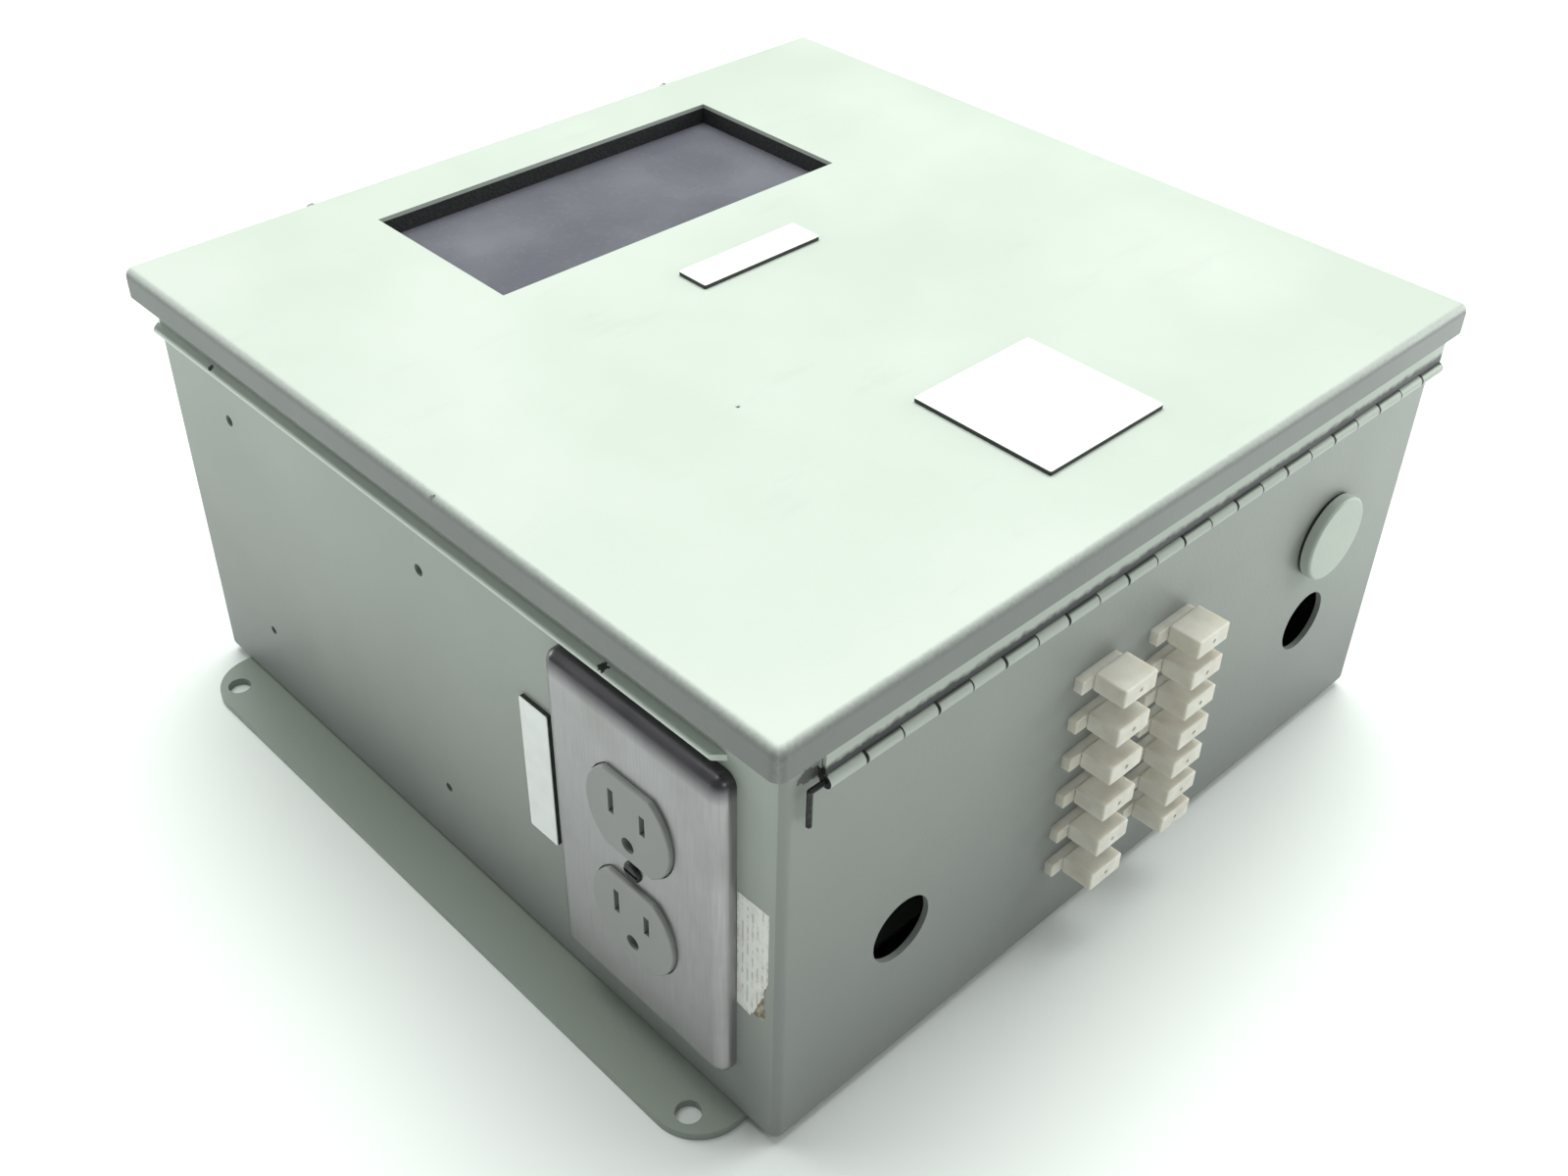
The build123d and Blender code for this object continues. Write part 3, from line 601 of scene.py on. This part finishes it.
# %% Build the nameplates
def skin_and_core():
    """White face skin and black core of engraving laminate."""
    skin, skin_shader = new_finish("laminate_white", (0.90, 0.91, 0.91), 0.30)
    tone = cloud(skin, 0.010, detail=4.0)
    join(skin, graded(skin, tone, (0.93, 0.94, 0.94), (0.84, 0.85, 0.86), 0.45, 0.80),
         skin_shader.inputs["Base Color"])
    raised(skin, skin_shader, cloud(skin, 0.0008, detail=2.0), 0.00002)
    core, core_shader = new_finish("laminate_core", (0.020, 0.020, 0.021), 0.55)
    saw = cloud(core, 0.0006, detail=2.0, stretch=(1.0, 1.0, 4.0))
    join(core, graded(core, saw, (0.014, 0.014, 0.015), (0.045, 0.045, 0.047), 0.35, 0.80),
         core_shader.inputs["Base Color"])
    raised(core, core_shader, saw, 0.00004)
    return skin, core


def rounded_outline(half_w, half_h, radius, steps=4):
    """Points round a rectangle with rounded corners, in order."""
    points = []
    for sx, sy, first in ((1, 1, 0.0), (-1, 1, 90.0), (-1, -1, 180.0), (1, -1, 270.0)):
        for k in range(steps + 1):
            turn = math.radians(first + 90.0 * k / steps)
            points.append((sx * (half_w - radius) + radius * math.cos(turn),
                           sy * (half_h - radius) + radius * math.sin(turn)))
    return points


def ring_stack(name, rings, to_place):
    """Closed solid from stacked rings of equal point count; returns the object and side faces by ring."""
    shape = bmesh.new()
    rows = [[shape.verts.new(to_place(x, y, z)) for x, y in outline] for outline, z in rings]
    count = len(rows[0])
    bands = []
    for low, high in zip(rows, rows[1:]):
        bands.append([shape.faces.new((low[k], low[(k + 1) % count], high[(k + 1) % count], high[k]))
                      for k in range(count)])
    base = shape.faces.new(list(reversed(rows[0])))
    lid = shape.faces.new(rows[-1])
    return shape, bands, base, lid


def finished_piece(shape, name, finishes, body, slot, *nodes):
    """Turn a bmesh into a piece that rides on a body and stands for CAD nodes."""
    bmesh.ops.recalc_face_normals(shape, faces=shape.faces)
    mesh = bpy.data.meshes.new(name)
    shape.to_mesh(mesh)
    shape.free()
    for finish in finishes:
        mesh.materials.append(finish)
    piece = bpy.data.objects.new(name, mesh)
    bpy.context.scene.collection.objects.link(piece)
    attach(piece, body)
    if nodes:
        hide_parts(*nodes)
    print(name, "rides on", body, "with", len(mesh.polygons), "faces")
    return piece


laminate_skin, laminate_core = skin_and_core()


def laminate_plate(name, node, body, outward):
    """One nameplate: black core, white skin, broken top edge."""
    low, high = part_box(node)
    middle = (low + high) / 2
    upright = outward == "-y"
    thick = high.y - low.y if upright else high.z - low.z
    half_w = (high.x - low.x) / 2
    half_h = (high.z - low.z) / 2 if upright else (high.y - low.y) / 2

    def to_place(x, y, z):
        if upright:
            return (middle.x + x, high.y - z, middle.z + y)
        return (middle.x + x, middle.y + y, low.z + z)

    levels_up = ((0.0, 0.05 * MM), (0.12 * MM, 0.0), (thick - 0.30 * MM, 0.0),
                 (thick - 0.26 * MM, 0.02 * MM), (thick - 0.08 * MM, 0.05 * MM), (thick, 0.18 * MM))
    rings = [(rounded_outline(half_w - drawn, half_h - drawn, 0.5 * MM), z) for z, drawn in levels_up]
    shape, bands, base, lid = ring_stack(name, rings, to_place)
    for band in bands[3:]:
        for face in band:
            face.material_index = 1
    lid.material_index = 1
    return finished_piece(shape, name, (laminate_core, laminate_skin), body, "laminate", node)


laminate_plate("laminate_door_large", "nameplate_door_large", "door", "+z")
laminate_plate("laminate_door_small", "nameplate_door_small", "door", "+z")
laminate_plate("laminate_outlet", "nameplate_outlet", "enclosure", "-y")

# %% [markdown]
# ## The worn paper label
#
# A paper label sits beside the cover plate. Its printing is left out. What makes it read as paper
# is that it is thin, slightly cockled, a little ragged, and torn away at a lower corner, where
# brown adhesive is left on the paint. We build it as a fine grid of points: the grid follows the
# label's outline, the torn side is shifted in by noise, and the whole sheet stands off the wall by
# a few hundredths of a millimetre that vary from place to place. The adhesive is a second, even
# thinner piece under the missing corner.

# %% Build the label and the adhesive under its torn corner
def worn_paper(name):
    """Off-white paper, yellowed, with faint ruled lines and handling marks."""
    finish, shader = new_finish(name, (0.66, 0.645, 0.60), 0.75)
    stain = cloud(finish, 0.007, detail=5.0, harsh=0.6)
    tone = graded(finish, stain, (0.84, 0.83, 0.80), (0.66, 0.63, 0.57), 0.46, 0.82)
    rules = add(finish, "ShaderNodeTexWave", bands_direction="X")
    rules.inputs["Scale"].default_value = 1.0 / 0.0060
    rules.inputs["Distortion"].default_value = 0.6
    join(finish, placed(finish), rules.inputs["Vector"])
    broken = cloud(finish, 0.0013, detail=2.0, stretch=(1.0, 1.0, 0.5))
    ink = add(finish, "ShaderNodeMath", operation="MULTIPLY")
    join(finish, levels(finish, rules.outputs["Fac"], 0.0, 1.0, 0.62, 0.85), ink.inputs[0])
    join(finish, levels(finish, broken, 0.0, 0.42, 0.46, 0.58), ink.inputs[1])
    join(finish, over(finish, ink.outputs[0], tone, (0.24, 0.235, 0.23)), shader.inputs["Base Color"])
    raised(finish, shader, cloud(finish, 0.0005, detail=3.0), 0.00004)
    return finish


def old_adhesive(name):
    """Brown dried adhesive with paper fibres in it."""
    finish, shader = new_finish(name, (0.22, 0.17, 0.10), 0.60)
    fibre = cloud(finish, 0.0015, detail=4.0)
    join(finish, graded(finish, fibre, (0.17, 0.13, 0.075), (0.46, 0.42, 0.34), 0.42, 0.70),
         shader.inputs["Base Color"])
    raised(finish, shader, fibre, 0.0001)
    return finish


def thin_sheet(name, across, up, left_edge, right_edge, stand_off, wall_y):
    """Closed thin sheet on the front wall; its side edges are functions of height from 0 to 1."""
    shape = bmesh.new()
    faces = {}
    for side, lift in (("back", 0.0), ("front", 1.0)):
        for row in range(up + 1):
            height = row / up
            left, right = left_edge(height), right_edge(height)
            for col in range(across + 1):
                x = left[0] + (right[0] - left[0]) * col / across
                z = left[1] + (right[1] - left[1]) * col / across
                y = wall_y - lift * stand_off(x, z)
                faces[side, row, col] = shape.verts.new((x, y, z))
    for row in range(up):
        for col in range(across):
            for side in ("back", "front"):
                square = ((0, 0), (0, 1), (1, 1), (1, 0))
                shape.faces.new([faces[side, row + a, col + b] for a, b in square])
    rim = [(0, col) for col in range(across)] + [(row, across) for row in range(up)]
    rim += [(up, col) for col in range(across, 0, -1)] + [(row, 0) for row in range(up, 0, -1)]
    for here, there in zip(rim, rim[1:] + rim[:1]):
        wrap = (("back", *here), ("back", *there), ("front", *there), ("front", *here))
        shape.faces.new([faces[corner] for corner in wrap])
    return shape


label_low, label_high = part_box("paper_label")
label_w = label_high.x - label_low.x
label_h = label_high.z - label_low.z
paper_t = (label_high.y - label_low.y) * 0.6


def cockle(x, z):
    """Thickness plus the paper's slow waves."""
    wave = noise.noise(Vector((x, 0.0, z)) / 0.006)
    return paper_t * (1.0 + 0.35 * wave)


def cut_edge(height):
    """The knife-cut side."""
    return (label_low.x, label_low.z + label_h * (0.02 + 0.98 * height))


def torn_edge(height):
    """The torn side: whole near the top, ragged and cut back near the bottom."""
    tear = max(0.0, 0.42 - height) / 0.42
    ragged = noise.noise(Vector((height * 31.0, 4.2, 0.0))) * 0.9 * MM
    slow = noise.noise(Vector((height * 7.0, 1.7, 0.0))) * 1.4 * MM
    back = tear ** 1.4 * 0.52 * label_w + (tear > 0) * abs(ragged + slow) * min(1.0, tear * 4)
    rise = label_h * (0.02 + 0.98 * height) - 0.02 * label_h * (1 - height)
    return (label_high.x - back, label_low.z + rise)


def adhesive_left(height):
    """Adhesive begins under the torn edge."""
    return (torn_edge(0.45 * height)[0] - 0.4 * MM, label_low.z + label_h * (0.03 + 0.42 * height))


def adhesive_right(height):
    """Adhesive ends short of the label's full width, unevenly."""
    ragged = noise.noise(Vector((height * 9.0, 8.1, 0.0))) * 1.2 * MM
    return (label_high.x - 0.8 * MM - abs(ragged), label_low.z + label_h * (0.05 + 0.40 * height))


label_sheet = thin_sheet("label", 10, 44, cut_edge, torn_edge, cockle, label_high.y)
paper = worn_paper("worn_paper")
finished_piece(label_sheet, "worn_label", (paper,), "enclosure", "label_paper", "paper_label")


def smear(x, z):
    """The adhesive's even thickness."""
    return 0.3 * paper_t


residue = thin_sheet("residue", 6, 20, adhesive_left, adhesive_right, smear, label_high.y)
finished_piece(residue, "label_adhesive", (old_adhesive("old_adhesive"),), "enclosure", "label_paper")

# %% [markdown]
# ## The table
#
# The table is a plain pale sheet, wide enough to fill the view. It is not quite white: it should
# burn out only where the light is full, and still show the box's soft shadow.

# %% Build the table
TABLE = (0.80, 0.815, 0.805)
table_finish, table_shader = new_finish("table_white", TABLE, 0.70)
table_shader.inputs["Specular IOR Level"].default_value = 0.2
table_tone = cloud(table_finish, 0.40, detail=3.0)
join(table_finish, graded(table_finish, table_tone, TABLE, tuple(c * 1.03 for c in TABLE), 0.4, 0.7),
     table_shader.inputs["Base Color"])
table_mesh = bpy.data.meshes.new("table")
HALF_TABLE = 3.0
corners = [(HALF_TABLE * x, HALF_TABLE * y, 0) for x, y in ((-1, -1), (1, -1), (1, 1), (-1, 1))]
table_mesh.from_pydata(corners, [], [(0, 1, 2, 3)])
table_mesh.materials.append(table_finish)
table = bpy.data.objects.new("table", table_mesh)
bpy.context.scene.collection.objects.link(table)
print("table", 2 * HALF_TABLE, "m across")

# %% [markdown]
# ## Light
#
# The box is lit like a catalogue item: one very large soft light overhead and a little behind,
# which makes the door far brighter than the walls and lets the shadow fall toward the viewer. The
# white table throws light back up at the walls. Two smaller boxes stand off the far ends of the
# receptacle wall and the hinge wall, so both walls fade toward the near corner. A dim even surround
# keeps the darks open, and a small lamp beside the camera picks out the screws, the pin and the
# rolled hinge with short, crisp shadows.

# %% Place the lights
def soft_box(name, place, aim, width, height, power, colour):
    """Rectangular light turned toward a point."""
    lamp = bpy.data.lights.new(name, "AREA")
    lamp.shape = "RECTANGLE"
    lamp.size = width
    lamp.size_y = height
    lamp.energy = power
    lamp.color = colour
    holder = bpy.data.objects.new(name, lamp)
    holder.location = place
    holder.rotation_euler = (Vector(aim) - Vector(place)).to_track_quat("-Z", "Y").to_euler()
    bpy.context.scene.collection.objects.link(holder)
    return holder


CLEAN_WHITE = (0.955, 1.0, 0.965)
PLAIN_WHITE = (1.0, 1.0, 1.0)
ROOM_COLOUR = (0.90, 0.97, 0.92, 1.0)
ROOM_STRENGTH = 0.26
soft_box("overhead", (-0.30, 0.30, 1.50), (0.0, 0.0, 0.05), 1.7, 1.5, 45.0, CLEAN_WHITE)
soft_box("left_fill", (-0.95, -0.50, 0.40), (-0.15, -0.15, 0.08), 0.5, 0.5, 3.6, CLEAN_WHITE)
soft_box("hinge_side", (0.42, 0.72, 0.30), (0.15, 0.14, 0.08), 0.4, 0.4, 3.4, CLEAN_WHITE)
soft_box("by_the_lens", (0.47, -0.21, 0.33), (0.0, 0.0, 0.08), 0.03, 0.03, 0.12, PLAIN_WHITE)
room = bpy.data.worlds.new("room")
room.use_nodes = True
surround = room.node_tree.nodes["Background"]
surround.inputs["Color"].default_value = ROOM_COLOUR
surround.inputs["Strength"].default_value = ROOM_STRENGTH
bpy.context.scene.world = room

# %% [markdown]
# ## Camera
#
# The camera is near, above the corner between the receptacle wall and the hinge wall, so the box
# shows strong perspective. We place it by the point it looks at and a small roll about its own
# line of sight. Depth of field stays off.

# %% Set the camera
lens_at = Vector((0.35072, -0.34717, 0.42805))
looks_at = Vector((0.03781, -0.03896, 0.08000))
ROLL = math.radians(1.3335)
LENS = 39.857
SENSOR = 36.0
view = bpy.data.cameras.new("camera")
view.sensor_fit = "HORIZONTAL"
view.sensor_width = SENSOR
view.lens = LENS
view.clip_start = 0.01
camera = bpy.data.objects.new("camera", view)
facing = (looks_at - lens_at).to_track_quat("-Z", "Y").to_matrix().to_4x4()
camera.matrix_world = Matrix.Translation(lens_at) @ facing @ Matrix.Rotation(ROLL, 4, "Z")
bpy.context.scene.collection.objects.link(camera)
bpy.context.scene.camera = camera
print("camera", [round(value, 3) for value in lens_at], "lens", view.lens)
